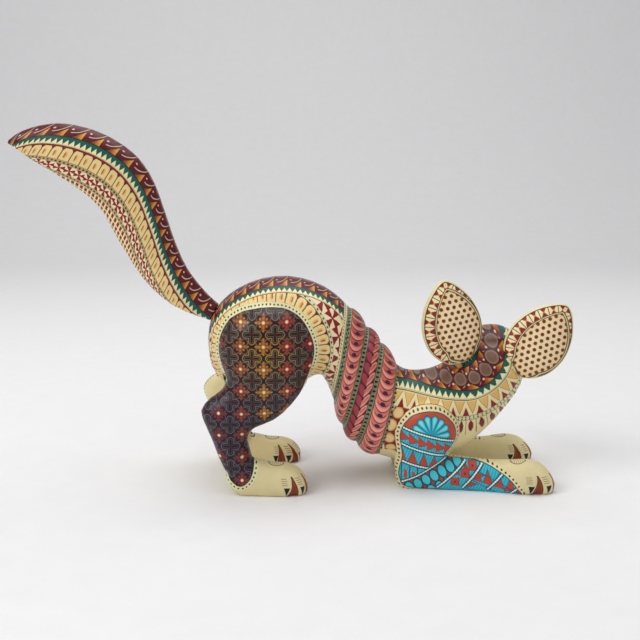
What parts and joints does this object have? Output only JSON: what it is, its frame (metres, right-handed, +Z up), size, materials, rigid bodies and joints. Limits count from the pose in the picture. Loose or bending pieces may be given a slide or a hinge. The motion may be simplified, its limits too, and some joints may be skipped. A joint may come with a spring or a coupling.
{
  "type": "painted wooden animal figure",
  "caption": "Carved and painted wooden coyote in a play bow, its head turned aside, with a tail and ears that pull out of their sockets on pegs.",
  "frame": {"origin": "middle of the figure's footprint box, on the surface it stands on", "axes": "+X from the tail tip to the forepaws, +Y the animal's left, the way the muzzle points, +Z up"},
  "size_m": [0.3352, 0.107, 0.2155],
  "materials": {
    "body_paint": "wood under satin acrylic: cream ground with maroon, teal and pink bands",
    "thigh_paint": "wood under satin acrylic: near-black purple with a fine lattice",
    "foreleg_paint": "wood under satin acrylic: turquoise with red-orange figures",
    "tail_paint": "wood under satin acrylic: maroon, teal, red and cream bands",
    "ear_paint": "wood under satin acrylic: cream with red-brown dots",
    "bare_wood": "sanded bare copal"
  },
  "bodies": {
    "carving": {"trunk": "body_paint", "head": "body_paint", "hind_leg_right": "thigh_paint", "hind_leg_left": "thigh_paint", "foreleg_right": "foreleg_paint", "foreleg_left": "foreleg_paint", "hip_dowel": "bare_wood", "shoulder_dowel": "bare_wood", "neck_dowel": "bare_wood"},
    "tail": {"tail": "tail_paint", "tail_peg": "bare_wood"},
    "ear_right": {"ear_right": "ear_paint", "ear_right_peg": "bare_wood"},
    "ear_left": {"ear_left": "ear_paint", "ear_left_peg": "bare_wood"}
  },
  "joints": [
    {"name": "tail_pull", "type": "slide", "parent": "carving", "child": "tail", "axis": [-0.866, 0, 0.5], "range_m": [0, 0.018]},
    {"name": "ear_right_pull", "type": "slide", "parent": "carving", "child": "ear_right", "axis": [0.7286, -0.309, 0.6113], "range_m": [0, 0.013]},
    {"name": "ear_left_pull", "type": "slide", "parent": "carving", "child": "ear_left", "axis": [-0.4755, -0.309, 0.8236], "range_m": [0, 0.013]}
  ]
}
